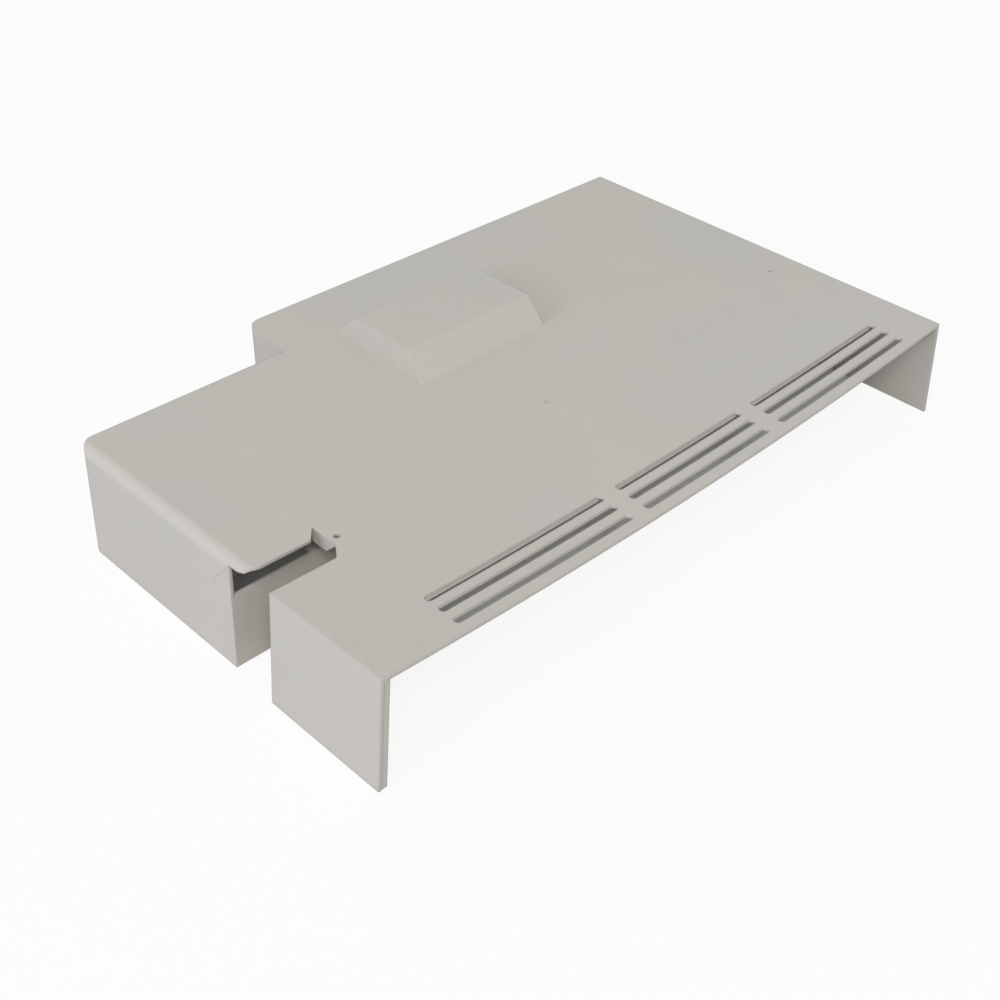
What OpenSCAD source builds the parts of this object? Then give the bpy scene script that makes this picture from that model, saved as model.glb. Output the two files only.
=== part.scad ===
// Evaporator cover: a thin moulded lid that stands open side down, with a louvred
// front, a raised lamp bump and a stepped side notch for cables. Sizes in mm.

/* [Overall] */
// Width along the open front edge
cover_width = 560; // [520:5:620]
// Depth from the front edge to the back wall
cover_depth = 354; // [340:2:380]
// Height from the flange bottoms to the flat top
cover_height = 84; // [78:1:100]
// Moulded wall thickness
wall = 2.6; // [2:0.1:3.2]
// Radius along the upright back corners
corner_radius = 12; // [6:0.5:15]

/* [Front edge bow] */
// Downward bow of the open front edge at mid width
bow_depth = 10.2; // [4:0.2:14]
// Distance from the front edge at which the bow has died out
bow_reach = 316; // [260:2:330]

/* [Wall draft] */
// Outward lean of the front left flange, degrees
flange_lean = 3.9; // [0.5:0.1:5]
// Outward lean of the long left wall, degrees
side_lean = 1.9; // [0.5:0.1:3]
// Outward lean of the right wall, degrees
right_lean = 6; // [0.5:0.1:7]

/* [Left side] */
// Back end of the front left flange
flange_end = 98.5; // [90:0.5:105]
// Front face of the wall behind the notch
notch_end = 138; // [125:0.5:142]
// How far the notch goes into the top
notch_reach = 56.6; // [50:0.2:62]
// Slanted corner of the notch, sideways
notch_corner_side = 7.3; // [3:0.1:10]
// Slanted corner of the notch, front to back
notch_corner_deep = 10; // [5:0.5:15]
// Where the notch's inner edge ends
nick_end = 131; // [128:0.5:134]
// Sideways length of the slanted nick behind it
nick_side = 8.1; // [6:0.1:10]
// How far the pocket below the top runs in
pocket_reach = 78; // [72:0.5:90]

/* [Top over the shelf] */
// Front edge of the top over the shelf
roof_front = 122; // [119:0.5:126]
// Left edge of the top there
roof_side = 0.9; // [0.6:0.1:2]
// Radius of its left corner, seen from above
roof_radius = 12; // [8:0.5:13]
// Radius along the upper left edge
edge_radius = 8; // [6:0.5:9]
// Height of the wall that hangs at the left of the shelf, at its front
skirt_depth = 5; // [4:0.5:7]
// Rounding-off of that wall's front lower corner
skirt_nose = 3; // [2:0.5:4]
// Height of the side opening at its back
skirt_rise = 3; // [2:0.5:5]

/* [Lowered shelf] */
// Height of the shelf's upper face
shelf_height = 56; // [45:1:62]
// Back of the shelf, where the step rises
shelf_end = 156; // [152:0.5:165]
// Window in the shelf: left edge
window_start = 4.6; // [3.5:0.1:8]
// Window in the shelf: length
window_length = 55.4; // [40:0.2:58]
// Rim behind the window
window_back_rim = 1.2; // [1:0.1:3]
// Rim in front of the window
window_rim = 2.8; // [2.6:0.1:4]
// Depth of the lip below the notch's inner edge
lip_drop = 11; // [6:0.5:14]
// Front end of that lip
lip_start = 109; // [106:0.5:114]
// Length of the lip's slanted front end
lip_slant = 9; // [4:0.5:12]
// Back end of that lip
lip_end = 132; // [127:0.5:136]

/* [Back step] */
// Where the narrower back strip begins
strip_start = 170.5; // [150:1:200]
// Back face of the wide left part
left_depth = 304; // [290:1:320]

/* [Air slots] */
// Width of one slot
slot_width = 5.6; // [4.6:0.2:8]
// Slot row centres from the front edge
slot_rows = [10.8, 23.4, 35.4];
// Start and end of each slot along the width
slot_groups = [[63.3, 215.2], [228.8, 358], [371.6, 523.2]];

/* [Bump] */
// Left side of the bump at its base
bump_start = 213; // [190:1:230]
// Front side of the bump at its base
bump_front = 206; // [180:1:220]
// Length of the bump at its base
bump_length = 122; // [100:1:140]
// Width of the bump at its base, front to back
bump_width = 94.6; // [80:1:100]
// Height of the bump above the top
bump_height = 19.2; // [12:0.2:24]
// Slope of the bump's front, as run
bump_front_run = 15.9; // [10:0.5:20]
// Slope of the bump's back, as run
bump_back_run = 20; // [10:0.5:25]
// Slope of the bump's two ends, as run
bump_end_run = 1.4; // [0.8:0.1:4]

/* [Small holes] */
// Screw hole beside the notch: diameter
screw_hole = 4.2; // [3:0.1:5]
// Screw hole: distance from the left edge
screw_x = 62.4; // [61:0.2:68]
// Screw hole: distance from the front edge
screw_y = 114.7; // [112:0.5:120]
// Small hole near the right end: diameter
pin_hole = 3; // [2.4:0.1:4]
// Small hole: distance from the right edge
pin_inset = 28.6; // [20:0.5:40]
// Small hole: distance from the front edge
pin_y = 141; // [120:1:160]
// Blind dimple: diameter
dimple_size = 4; // [3:0.1:6]
// Blind dimple: depth
dimple_depth = 0.8; // [0.4:0.1:1.2]
// Blind dimple: distance from the left edge
dimple_x = 264.4; // [240:1:290]
// Blind dimple: distance from the front edge
dimple_y = 133; // [110:1:150]

/* [Hidden] */

over = 1;
lift = 0.02;
round_faces = 96;
small_faces = 48;
bow_steps = 24;
fade_steps = 9;
side_reach = 40;
skin = [0.86, 0.85, 0.82];

lean_out = cover_height * tan(flange_lean);
lean_right = cover_height * tan(right_lean);
centre_x = (cover_width + lean_right - lean_out) / 2;
centre_y = cover_depth / 2;
window_front = notch_end + window_rim;
window_back = shelf_end - window_back_rim;
bump_end = bump_start + bump_length;
bump_back = bump_front + bump_width;
ceiling = cover_height - wall;
shelf_floor = shelf_height - wall;

// Height lost to the bow at a point of the top
function bow_fade(y) = pow(max(0, 1 - y / bow_reach), 2);
function bow_at(x, y) = 4 * bow_depth * (x / cover_width) * (1 - x / cover_width) * bow_fade(y);

// Everything above the bowed top, ready to be cut away
module above_bow() {
  xs = [for (i = [0:bow_steps]) -side_reach + i * (cover_width + 2 * side_reach) / bow_steps];
  ys = [for (j = [0:fade_steps]) -side_reach + j * (bow_reach + side_reach) / fade_steps];
  nx = bow_steps + 1;
  ny = fade_steps + 1;
  top = 2 * side_reach;
  low = [for (y = ys) for (x = xs) [x, y, lift - bow_at(x, y)]];
  high = [for (y = ys) for (x = xs) [x, y, top]];
  count = nx * ny;
  low_faces = [for (j = [0:ny - 2]) for (i = [0:nx - 2]) for (k = [0:1])
    let (a = j * nx + i, b = a + 1, c = a + nx, d = c + 1)
    k == 0 ? [a, b, d] : [a, d, c]];
  lid = [[count + (ny - 1) * nx, count + count - 1, count + nx - 1, count]];
  front = [concat([count, count + nx - 1], [for (i = [nx - 1:-1:0]) i])];
  back = [concat([count + count - 1, count + count - nx], [for (i = [0:nx - 1]) count - nx + i])];
  left = [concat([count + count - nx, count], [for (j = [0:ny - 1]) j * nx])];
  right = [concat([count + nx - 1, count + count - 1], [for (j = [ny - 1:-1:0]) j * nx + nx - 1])];
  polyhedron(points = concat(low, high),
             faces = concat(low_faces, lid, front, back, left, right));
}

// Upright block whose back left corner is rounded
module corner_block(x0, x1, y0, y1, radius) {
  translate([0, 0, -cover_height])
    linear_extrude(3 * cover_height)
      union() {
        translate([x0, y0]) square([x1 - x0, y1 - y0 - radius]);
        translate([x0 + radius, y0]) square([x1 - x0 - radius, y1 - y0]);
        translate([x0 + radius, y1 - radius]) circle(r = radius, $fn = round_faces);
      }
}

// Leans its children outward about a top edge
module leaning(angle, edge_x) {
  translate([edge_x, 0, cover_height])
    rotate([0, angle, 0])
      translate([-edge_x, 0, -cover_height])
        children();
}

// The whole outside with every wall face moved in by one amount
module envelope(inset, front_y, z_low, z_high) {
  middle_x = pocket_reach + inset;
  // outside, the left part starts under the front edge of the top over the shelf
  left_front = inset > 0 ? notch_end + inset : roof_front - over;
  intersection() {
    union() {
      leaning(flange_lean, 0)
        translate([inset, front_y, -cover_height])
          cube([cover_width / 2, flange_end - inset - front_y, 3 * cover_height]);
      leaning(side_lean, 0)
        corner_block(inset, cover_width / 2, left_front, left_depth - inset, corner_radius - inset);
      // ends inside the left part, which alone makes the back face there
      translate([middle_x, front_y, -cover_height])
        cube([cover_width, left_depth - 4 * corner_radius - inset - front_y, 3 * cover_height]);
      corner_block(strip_start + inset, cover_width + lean_right + over, front_y,
                   cover_depth - inset, corner_radius - inset);
    }
    leaning(-right_lean, cover_width)
      translate([-cover_width, front_y - over, -cover_height])
        cube([2 * cover_width - inset, cover_depth * 2, 3 * cover_height]);
    translate([-cover_width, front_y - over, z_low])
      cube([3 * cover_width, 2 * cover_depth, z_high - z_low]);
  }
}

// Raised lamp bump, as a block with sloped sides
module bump(inset) {
  x0 = bump_start + inset;
  x1 = bump_end - inset;
  y0 = bump_front + inset;
  y1 = bump_back - inset;
  h = bump_height;
  foot = 8;
  // slopes carried down below the top so that the bump grows out of it
  ex = bump_end_run * foot / h;
  ef = bump_front_run * foot / h;
  eb = bump_back_run * foot / h;
  z0 = cover_height - foot - inset;
  z1 = cover_height + h - inset;
  polyhedron(
    points = [
      [x0 - ex, y0 - ef, z0], [x1 + ex, y0 - ef, z0], [x1 + ex, y1 + eb, z0], [x0 - ex, y1 + eb, z0],
      [x0 + bump_end_run, y0 + bump_front_run, z1], [x1 - bump_end_run, y0 + bump_front_run, z1],
      [x1 - bump_end_run, y1 - bump_back_run, z1], [x0 + bump_end_run, y1 - bump_back_run, z1]
    ],
    faces = [[0, 1, 2, 3], [7, 6, 5, 4], [0, 4, 5, 1], [1, 5, 6, 2], [2, 6, 7, 3], [3, 7, 4, 0]]);
}

// Everything above the bowed top, or above the same surface moved by an amount
module above_top(shift) {
  translate([0, 0, cover_height + shift]) above_bow();
}

// Upright wall of space, from a plan outline
module upright(z_low, z_high) {
  translate([0, 0, z_low])
    linear_extrude(z_high - z_low)
      children();
}

// Room outside the rounded upper left edge, or outside the same round one wall in
module edge_cut(inset) {
  round_x = edge_radius * (1 - sin(side_lean)) / cos(side_lean);
  round_z = cover_height - edge_radius;
  translate([0, left_depth + over, 0])
    rotate([90, 0, 0])
      linear_extrude(left_depth - roof_front + 3 * over)
        difference() {
          polygon([
            [round_x, round_z],
            [-side_reach, round_z + (side_reach + round_x) * tan(side_lean)],
            [-side_reach, cover_height + over],
            [round_x, cover_height + over]
          ]);
          translate([round_x, round_z]) circle(r = edge_radius - inset - lift, $fn = round_faces);
        }
}

// Opening in the flat top over the notch
module notch_plan() {
  polygon([
    [-side_reach, flange_end],
    [notch_reach - notch_corner_side, flange_end],
    [notch_reach, flange_end + notch_corner_deep],
    [notch_reach, nick_end],
    [notch_reach - nick_side, roof_front],
    [-side_reach, roof_front]
  ]);
  // beside the rounded corner of the top over the shelf
  difference() {
    translate([-side_reach, roof_front - over])
      square([side_reach + roof_side + roof_radius, notch_end - roof_front + over]);
    translate([roof_side + roof_radius, roof_front + roof_radius])
      circle(r = roof_radius, $fn = round_faces);
    translate([roof_side, roof_front + roof_radius]) square([2 * roof_radius, notch_end]);
  }
}

// Hollow under the top, left solid round the lowered shelf
module hollow() {
  difference() {
    envelope(wall, -over, -over, ceiling);
    above_top(-wall);
    edge_cut(wall);
    upright(shelf_floor, cover_height)
      translate([-side_reach, notch_end - over])
        square([side_reach + pocket_reach + wall, shelf_end + wall - notch_end + over]);
  }
}

// Opening at the left of the shelf, below the wall that hangs there
module side_opening() {
  translate([-side_reach, 0, 0])
    rotate([90, 0, 90])
      linear_extrude(side_reach + wall + over)
        polygon([
          [roof_front - 2 * over, shelf_height],
          [shelf_end, shelf_height],
          [shelf_end, shelf_height + skirt_rise],
          [notch_end + skirt_nose, cover_height - skirt_depth - skirt_nose],
          [notch_end, cover_height - skirt_depth],
          [roof_front - 2 * over, cover_height - skirt_depth]
        ]);
}

// Space outside the walls but below the level of the top
module side_space() {
  difference() {
    union() {
      upright(-over, ceiling)
        translate([-side_reach, flange_end])
          square([side_reach + pocket_reach, notch_end - flange_end]);
      upright(shelf_height, ceiling)
        translate([wall, notch_end - over])
          square([pocket_reach - wall, shelf_end - notch_end + over]);
    }
    above_top(-wall);
    edge_cut(wall);
  }
  side_opening();
}

// Part of the top that reaches out over the pocket
module overhang() {
  upright(ceiling - bow_depth, cover_height)
    translate([notch_reach - notch_corner_side, flange_end - over])
      square([pocket_reach + wall - notch_reach + notch_corner_side, shelf_end + wall - flange_end + over]);
}

// One air slot with round ends
module slot(x0, x1, y) {
  radius = slot_width / 2;
  upright(cover_height / 2, cover_height + over)
    union() {
      translate([x0 + radius, y - radius]) square([x1 - x0 - slot_width, slot_width]);
      translate([x0 + radius, y]) circle(r = radius, $fn = small_faces);
      translate([x1 - radius, y]) circle(r = radius, $fn = small_faces);
    }
}

// Small lip that hangs below the inner edge of the notch
module lip() {
  drop = lip_drop + bow_at(notch_reach, lip_start);
  translate([notch_reach, 0, 0])
    rotate([90, 0, 90])
      linear_extrude(wall)
        polygon([[lip_start, ceiling - over], [lip_start + lip_slant, cover_height - drop],
                 [lip_end, cover_height - drop], [lip_end, ceiling - over]]);
}

module cover() {
  color(skin)
    translate([-centre_x, -centre_y, 0])
      union() {
        difference() {
          union() {
            difference() {
              union() {
                envelope(0, 0, 0, cover_height);
                overhang();
              }
              above_top(0);
              edge_cut(0);
            }
            bump(0);
          }
          hollow();
          bump(wall);
          side_space();
          upright(shelf_height, cover_height + over) notch_plan();
          upright(0, shelf_height + over)
            translate([window_start, window_front])
              square([window_length, window_back - window_front]);
          for (y = slot_rows, g = slot_groups) slot(g[0], g[1], y);
          translate([screw_x, screw_y, shelf_height])
            cylinder(d = screw_hole, h = cover_height, $fn = small_faces);
          translate([cover_width - pin_inset, pin_y, shelf_height])
            cylinder(d = pin_hole, h = cover_height, $fn = small_faces);
          translate([dimple_x, dimple_y, cover_height - bow_at(dimple_x, dimple_y) - dimple_depth])
            cylinder(d = dimple_size, h = cover_height, $fn = small_faces);
        }
        lip();
      }
}

cover();
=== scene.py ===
"""Looks of the evaporator cover: one pale grey-beige moulded piece on a plain pale floor."""
import math

import bmesh
import bpy
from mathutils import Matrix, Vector


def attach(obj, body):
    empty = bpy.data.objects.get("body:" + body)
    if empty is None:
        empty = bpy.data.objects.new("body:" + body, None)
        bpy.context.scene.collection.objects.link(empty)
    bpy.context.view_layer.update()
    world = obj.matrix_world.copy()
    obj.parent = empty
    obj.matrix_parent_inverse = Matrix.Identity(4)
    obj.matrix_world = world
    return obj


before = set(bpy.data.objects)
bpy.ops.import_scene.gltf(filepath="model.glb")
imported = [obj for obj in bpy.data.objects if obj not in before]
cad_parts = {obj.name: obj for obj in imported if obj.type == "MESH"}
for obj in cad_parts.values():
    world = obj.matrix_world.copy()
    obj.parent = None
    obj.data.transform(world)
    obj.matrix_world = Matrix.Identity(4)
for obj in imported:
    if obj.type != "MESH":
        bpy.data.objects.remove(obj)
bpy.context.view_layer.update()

# Camera of the photograph, fitted to the part's own edges: place in metres, turns in degrees
CAMERA_AT = (-0.63532, -0.61886, 0.63517)
CAMERA_TURN = (54.1875, -2.2166, -46.1199)
LENS_MM = 52.095
SENSOR_MM = 36.0
SHIFT = (-0.05774, -0.03550)
CAMERA_REACH = 50.0

# Sizes shared with the part, in metres, from its front left corner; leans are in degrees
CENTRE = (0.281551, 0.177)
COVER_WIDTH = 0.560
COVER_HEIGHT = 0.084
WALL = 0.0026
BOW_DEPTH = 0.0102
BOW_REACH = 0.316
FLANGE_LEAN = 3.9
SIDE_LEAN = 1.9

# Ribs below the back row of slots: the two ends of each slot, then the rib's own sizes
BACK_SLOTS = ((0.0633, 0.2152), (0.2288, 0.3580), (0.3716, 0.5232))
RIB_FRONT = 0.03825
RIB_DEPTH = 0.0054
RIB_THICK = 0.0018
RIB_EDGE = 0.0004
RIB_HELD = 0.0005
RIB_STEPS = 16

# Turned-in edge of the left flange
RETURN_SPAN = (0.00005, 0.0020)
RETURN_LOW = 0.0003
RETURN_HIGH = 0.0812
RETURN_HELD = 0.0010
RETURN_WIDTH = 0.0064

# Cheek of the shelf: its outline as depth and height, and its two faces
CHEEK = ((0.13805, 0.0555), (0.1570, 0.0555), (0.1570, 0.0600), (0.1420, 0.0770), (0.13805, 0.0800))
CHEEK_SPAN = (0.00003, 0.0024)

# Plastic: linear colours, noises as scale, detail and roughness, spans of their values, bumps as
# strength and distance
BASE = (0.500, 0.474, 0.427, 1.0)
BASE_COOL = (0.478, 0.462, 0.424, 1.0)
# Dark colour of the grain's speckle, also used for the painted shade in the inner corners
DUST_AND_SHADE = (0.400, 0.372, 0.325, 1.0)
SHINE = 0.35
BLOTCH_NOISE = (7.0, 3.0, 0.5)
BLOTCH_SPAN = (0.35, 0.65)
SPECK_NOISE = (900.0, 2.0, 0.6)
SPECK_SPAN = (0.55, 0.80)
SPECK_DUST = 0.12
# Painted shade in the inner corners: reach, samples and span of the occlusion, and how far it darkens
CORNER_REACH = 0.012
CORNER_SAMPLES = 8
CORNER_SPAN = (0.35, 0.95)
CORNER_SHADE = 0.30
RUB_NOISE = (18.0, 4.0, 0.6)
RUB_SPAN = (0.3, 0.7)
ROUGHNESS_SPAN = (0.46, 0.58)
EDGE_RADIUS = 0.0013
EDGE_SAMPLES = 6
GRAIN_NOISE = (1500.0, 3.0, 0.55)
GRAIN_BUMP = (0.16, 0.0002)
WAVE_NOISE = (5.0, 1.0, 0.5)
WAVE_BUMP = (0.12, 0.002)

# Floor: its size, how far it lies below the part, its colour, the strength of the white that the camera
# sees on it, and the share of that white in the open and under the cover
FLOOR_SIZE = 14.0
FLOOR_DROP = 0.0005
FLOOR_COLOUR = (0.66, 0.66, 0.65, 1)
WHITE = (1, 1, 1, 1)
FLOOR_WHITE = 1.02
WHITE_OPEN = 0.87
WHITE_COVERED = 0.02

# Soft limits of the covered floor, from the part's centre; those to the right and back are negated
COVER_FRONT = (-0.110, -0.102)
COVER_LEFT = (-0.278, -0.268)
COVER_RIGHT = (-0.290, -0.286)
COVER_BACK = (-0.125, -0.115)
NOTCH_RIGHT = (0.196, 0.203)
NOTCH_BACK = (0.034, 0.041)
LIMIT_BOW = 0.009
LIMIT_BOW_MIDDLE = 0.09
LIMIT_BOW_HALF = 0.32

# Light: the sky's colour and strength, the sky as it is seen, and each lamp's name, place, size, power
# and colour
SKY = (0.97, 0.985, 1.0, 1)
SKY_STRENGTH = 0.47
SKY_SEEN = (0.8, 0.8, 0.8, 1)
LAMP_AIM = (0.0, 0.0, 0.05)
LAMPS = (
    ("left", (-7.60, 0.20, 2.60), 3.2, 180.0, (0.95, 0.97, 1.14)),
    ("front", (-3.60, -4.10, 5.85), 2.6, 394.0, (1.0, 0.99, 0.98)),
)


def new_node(tree, kind, **values):
    """Node of a kind with its settings."""
    node = tree.nodes.new(kind)
    for key, value in values.items():
        setattr(node, key, value)
    return node


def feed(tree, value, socket):
    """Link an output into a socket, or write a plain value there."""
    if hasattr(value, "links"):
        tree.links.new(value, socket)
    else:
        socket.default_value = value


def new_material(name):
    """Material with an empty node tree, and its output node."""
    material = bpy.data.materials.new(name)
    material.use_nodes = True
    material.node_tree.nodes.clear()
    return material, new_node(material.node_tree, "ShaderNodeOutputMaterial")


def plastic():
    """Moulded plastic: fine grain, faint blotches, soft scuffs, and painted shade darkening the inner
    corners.
    """
    material, out = new_material("moulded plastic")
    tree = material.node_tree
    link = tree.links.new
    shader = new_node(tree, "ShaderNodeBsdfPrincipled")
    link(shader.outputs["BSDF"], out.inputs["Surface"])
    shader.inputs["Specular IOR Level"].default_value = SHINE
    where = new_node(tree, "ShaderNodeTexCoord")

    def noise(settings):
        node = new_node(tree, "ShaderNodeTexNoise")
        for key, value in zip(("Scale", "Detail", "Roughness"), settings):
            node.inputs[key].default_value = value
        link(where.outputs["Object"], node.inputs["Vector"])
        return node.outputs["Fac"]

    def spread(source, span, result=(0.0, 1.0)):
        node = new_node(tree, "ShaderNodeMapRange")
        for key, value in zip(("From Min", "From Max", "To Min", "To Max"), span + result):
            node.inputs[key].default_value = value
        link(source, node.inputs["Value"])
        return node.outputs["Result"]

    def mix(one, two, factor):
        node = new_node(tree, "ShaderNodeMix", data_type="RGBA")
        link(factor, node.inputs[0])
        feed(tree, one, node.inputs[6])
        feed(tree, two, node.inputs[7])
        return node.outputs[2]

    def bump(height, settings, normal):
        node = new_node(tree, "ShaderNodeBump")
        for key, value in zip(("Strength", "Distance"), settings):
            node.inputs[key].default_value = value
        link(height, node.inputs["Height"])
        link(normal, node.inputs["Normal"])
        return node.outputs["Normal"]

    # broad, faint blotches as in a moulded sheet, then the fine speckle of the grain
    colour = mix(BASE, BASE_COOL, spread(noise(BLOTCH_NOISE), BLOTCH_SPAN))
    colour = mix(colour, DUST_AND_SHADE, spread(noise(SPECK_NOISE), SPECK_SPAN, (0.0, SPECK_DUST)))
    # painted shade: the inner corners are darkened towards the dark colour by ambient occlusion
    corner = new_node(tree, "ShaderNodeAmbientOcclusion", samples=CORNER_SAMPLES, inside=False)
    corner.inputs["Distance"].default_value = CORNER_REACH
    colour = mix(colour, DUST_AND_SHADE, spread(corner.outputs["AO"], CORNER_SPAN, (CORNER_SHADE, 0.0)))
    link(colour, shader.inputs["Base Color"])

    # rubbed places are a little smoother
    link(spread(noise(RUB_NOISE), RUB_SPAN, ROUGHNESS_SPAN), shader.inputs["Roughness"])

    # moulded edges are never quite sharp
    edge = new_node(tree, "ShaderNodeBevel", samples=EDGE_SAMPLES)
    edge.inputs["Radius"].default_value = EDGE_RADIUS
    normal = bump(noise(GRAIN_NOISE), GRAIN_BUMP, edge.outputs["Normal"])
    normal = bump(noise(WAVE_NOISE), WAVE_BUMP, normal)
    link(normal, shader.inputs["Normal"])
    return material


def covered_floor(tree):
    """One where the cover stands over the floor, nought where the floor lies open."""
    link = tree.links.new
    where = new_node(tree, "ShaderNodeTexCoord")
    split = new_node(tree, "ShaderNodeSeparateXYZ")
    link(where.outputs["Object"], split.inputs[0])
    x, y = split.outputs["X"], split.outputs["Y"]

    def work_out(kind, one, two):
        node = new_node(tree, "ShaderNodeMath", operation=kind)
        feed(tree, one, node.inputs[0])
        feed(tree, two, node.inputs[1])
        return node.outputs[0]

    def rise(value, limits):
        node = new_node(tree, "ShaderNodeMapRange", interpolation_type="SMOOTHSTEP")
        for key, limit in zip(("From Min", "From Max"), limits):
            node.inputs[key].default_value = limit
        link(value, node.inputs["Value"])
        return node.outputs["Result"]

    # the front limit follows the bow of the front edge
    across = work_out("DIVIDE", work_out("SUBTRACT", x, LIMIT_BOW_MIDDLE), LIMIT_BOW_HALF)
    fall = work_out("SUBTRACT", 1.0, work_out("MULTIPLY", across, across))
    front = rise(work_out("ADD", y, work_out("MULTIPLY", fall, LIMIT_BOW)), COVER_FRONT)
    left = rise(x, COVER_LEFT)
    minus_x = work_out("MULTIPLY", x, -1.0)
    minus_y = work_out("MULTIPLY", y, -1.0)
    right = rise(minus_x, COVER_RIGHT)
    back = rise(minus_y, COVER_BACK)
    under = work_out("MULTIPLY", work_out("MULTIPLY", front, back), work_out("MULTIPLY", left, right))
    # the notch's floor lies open
    notch = work_out("MULTIPLY", rise(minus_x, NOTCH_RIGHT), rise(minus_y, NOTCH_BACK))
    return work_out("MULTIPLY", under, work_out("SUBTRACT", 1.0, notch))


def add_floor():
    """Plain pale floor that the camera sees as nearly white where it lies open."""
    material, out = new_material("pale floor")
    tree = material.node_tree
    link = tree.links.new
    diffuse = new_node(tree, "ShaderNodeBsdfDiffuse")
    diffuse.inputs["Color"].default_value = FLOOR_COLOUR
    white = new_node(tree, "ShaderNodeEmission")
    white.inputs["Color"].default_value = WHITE
    white.inputs["Strength"].default_value = FLOOR_WHITE
    share = new_node(tree, "ShaderNodeMapRange")
    link(covered_floor(tree), share.inputs["Value"])
    share.inputs["To Min"].default_value = WHITE_OPEN
    share.inputs["To Max"].default_value = WHITE_COVERED
    path = new_node(tree, "ShaderNodeLightPath")
    seen = new_node(tree, "ShaderNodeMath", operation="MULTIPLY")
    link(path.outputs["Is Camera Ray"], seen.inputs[0])
    link(share.outputs["Result"], seen.inputs[1])
    blend = new_node(tree, "ShaderNodeMixShader")
    link(seen.outputs[0], blend.inputs["Fac"])
    link(diffuse.outputs["BSDF"], blend.inputs[1])
    link(white.outputs["Emission"], blend.inputs[2])
    link(blend.outputs["Shader"], out.inputs["Surface"])
    bpy.ops.mesh.primitive_plane_add(size=FLOOR_SIZE, location=(0, 0, -FLOOR_DROP))
    floor = bpy.context.object
    floor.name = "floor"
    floor.data.materials.append(material)


def add_world():
    """Soft sky for light, and a plain pale one for the camera, reflections and see-through rays."""
    world = bpy.data.worlds.new("studio")
    bpy.context.scene.world = world
    world.use_nodes = True
    tree = world.node_tree
    tree.nodes.clear()
    link = tree.links.new
    out = new_node(tree, "ShaderNodeOutputWorld")
    light = new_node(tree, "ShaderNodeBackground")
    light.inputs["Color"].default_value = SKY
    light.inputs["Strength"].default_value = SKY_STRENGTH
    white = new_node(tree, "ShaderNodeBackground")
    white.inputs["Color"].default_value = SKY_SEEN
    path = new_node(tree, "ShaderNodeLightPath")
    first = new_node(tree, "ShaderNodeMath", operation="MAXIMUM")
    both = new_node(tree, "ShaderNodeMath", operation="MAXIMUM")
    blend = new_node(tree, "ShaderNodeMixShader")
    link(path.outputs["Is Camera Ray"], first.inputs[0])
    link(path.outputs["Is Glossy Ray"], first.inputs[1])
    link(first.outputs[0], both.inputs[0])
    link(path.outputs["Is Transmission Ray"], both.inputs[1])
    link(both.outputs[0], blend.inputs["Fac"])
    link(light.outputs["Background"], blend.inputs[1])
    link(white.outputs["Background"], blend.inputs[2])
    link(blend.outputs["Shader"], out.inputs["Surface"])


def add_lamp(name, at, size, power, colour):
    """Square soft lamp that faces the part."""
    data = bpy.data.lights.new(name, "AREA")
    data.shape = "SQUARE"
    data.size = size
    data.energy = power
    data.color = colour
    lamp = bpy.data.objects.new(name, data)
    bpy.context.collection.objects.link(lamp)
    lamp.location = at
    lamp.rotation_euler = (Vector(LAMP_AIM) - Vector(at)).to_track_quat("-Z", "Y").to_euler()


def add_camera():
    """Camera at the photograph's viewing angle."""
    data = bpy.data.cameras.new("camera")
    data.sensor_fit = "HORIZONTAL"
    data.sensor_width = SENSOR_MM
    data.lens = LENS_MM
    data.shift_x, data.shift_y = SHIFT
    data.clip_end = CAMERA_REACH
    camera = bpy.data.objects.new("camera", data)
    bpy.context.collection.objects.link(camera)
    camera.location = CAMERA_AT
    camera.rotation_euler = [math.radians(turn) for turn in CAMERA_TURN]
    bpy.context.scene.camera = camera


def top_at(x, y):
    """Height of the bowed top over a point, both measured from the front left corner."""
    across = x / COVER_WIDTH
    fade = max(0.0, 1.0 - y / BOW_REACH) ** 2
    return COVER_HEIGHT - 4.0 * BOW_DEPTH * across * (1.0 - across) * fade


def leaned(z, angle):
    """Sideways place of a leaning left wall's outer face at a height."""
    return -(COVER_HEIGHT - z) * math.tan(math.radians(angle))


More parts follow.
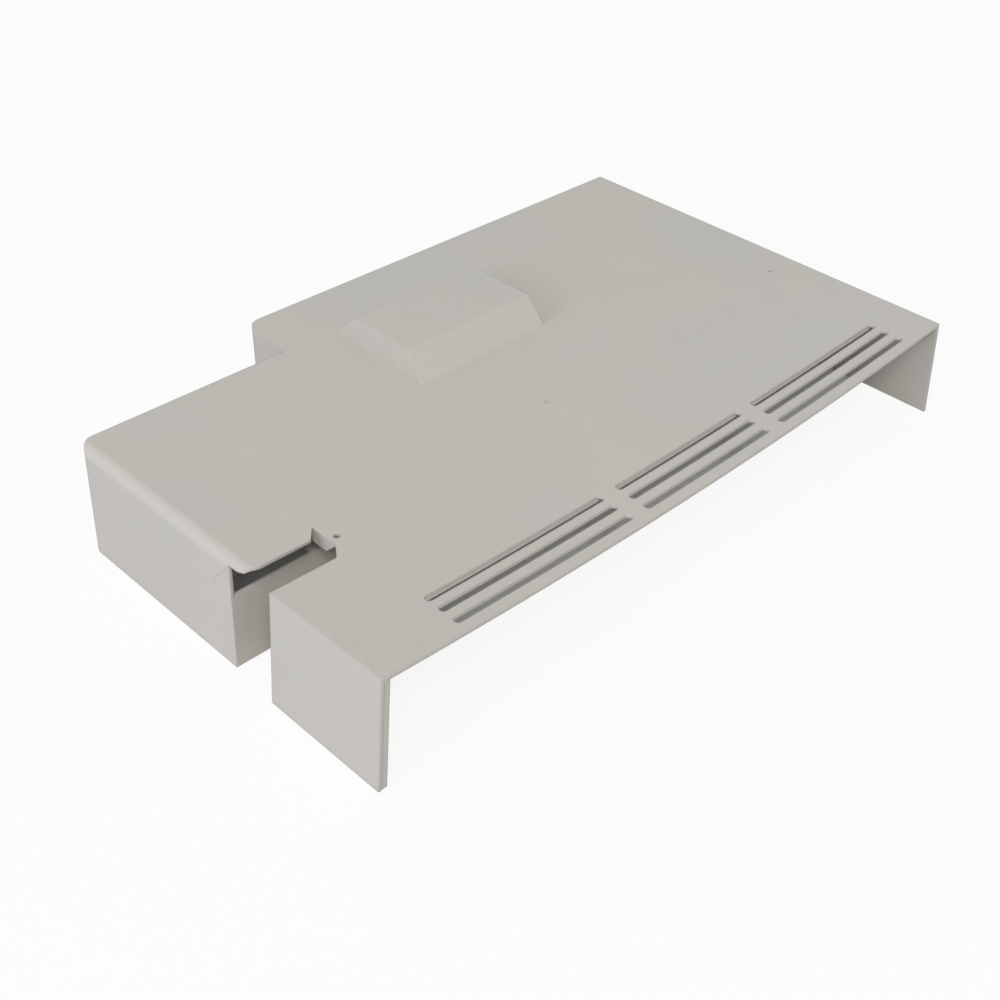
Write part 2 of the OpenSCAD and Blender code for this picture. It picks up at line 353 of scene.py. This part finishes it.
def add_bar(name, rings, material):
    """Solid bar through rings of points, given from the front left corner; its ends are closed."""
    mesh = bmesh.new()
    loops = [[mesh.verts.new((x - CENTRE[0], y - CENTRE[1], z)) for x, y, z in ring] for ring in rings]
    count = len(loops[0])
    for one, two in zip(loops, loops[1:]):
        for k in range(count):
            mesh.faces.new((one[k], one[(k + 1) % count], two[(k + 1) % count], two[k]))
    mesh.faces.new(loops[0])
    mesh.faces.new(list(reversed(loops[-1])))
    bmesh.ops.recalc_face_normals(mesh, faces=mesh.faces)
    data = bpy.data.meshes.new(name)
    mesh.to_mesh(data)
    mesh.free()
    piece = bpy.data.objects.new(name, data)
    bpy.context.collection.objects.link(piece)
    data.materials.append(material)
    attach(piece, "root")


def add_rib(name, x0, x1, material):
    """Small rib that hangs below the back edge of one slot of the back row."""
    back = RIB_FRONT + RIB_THICK
    rings = []
    for i in range(RIB_STEPS + 1):
        x = x0 + (x1 - x0) * i / RIB_STEPS
        high = top_at(x, RIB_FRONT) - WALL + RIB_HELD
        low = top_at(x, RIB_FRONT) - RIB_DEPTH
        rings.append([
            (x, RIB_FRONT, high),
            (x, RIB_FRONT, low + RIB_EDGE),
            (x, RIB_FRONT + RIB_EDGE, low),
            (x, back - RIB_EDGE, low),
            (x, back, low + RIB_EDGE),
            (x, back, high),
        ])
    add_bar(name, rings, material)


def add_return(material):
    """Narrow turned-in edge at the front end of the left flange."""
    corners = (
        (RETURN_LOW, RETURN_HELD),
        (RETURN_LOW, RETURN_WIDTH),
        (RETURN_HIGH, RETURN_WIDTH),
        (RETURN_HIGH, RETURN_HELD),
    )
    rings = [[(leaned(z, FLANGE_LEAN) + inward, y, z) for z, inward in corners] for y in RETURN_SPAN]
    add_bar("flange_return", rings, material)


def add_cheek(material):
    """Thin cheek that closes the left end of the shelf under the top."""
    rings = [[(leaned(z, SIDE_LEAN) + inward, y, z) for y, z in CHEEK] for inward in CHEEK_SPAN]
    add_bar("shelf_cheek", rings, material)


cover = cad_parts["cover"]
skin = plastic()
cover.data.materials.clear()
cover.data.materials.append(skin)
for number, (slot_x0, slot_x1) in enumerate(BACK_SLOTS, 1):
    add_rib(f"slot_rib_{number}", slot_x0, slot_x1, skin)
add_return(skin)
add_cheek(skin)

add_floor()
add_world()
for lamp_settings in LAMPS:
    add_lamp(*lamp_settings)
add_camera()
bpy.context.scene.view_settings.view_transform = "Standard"
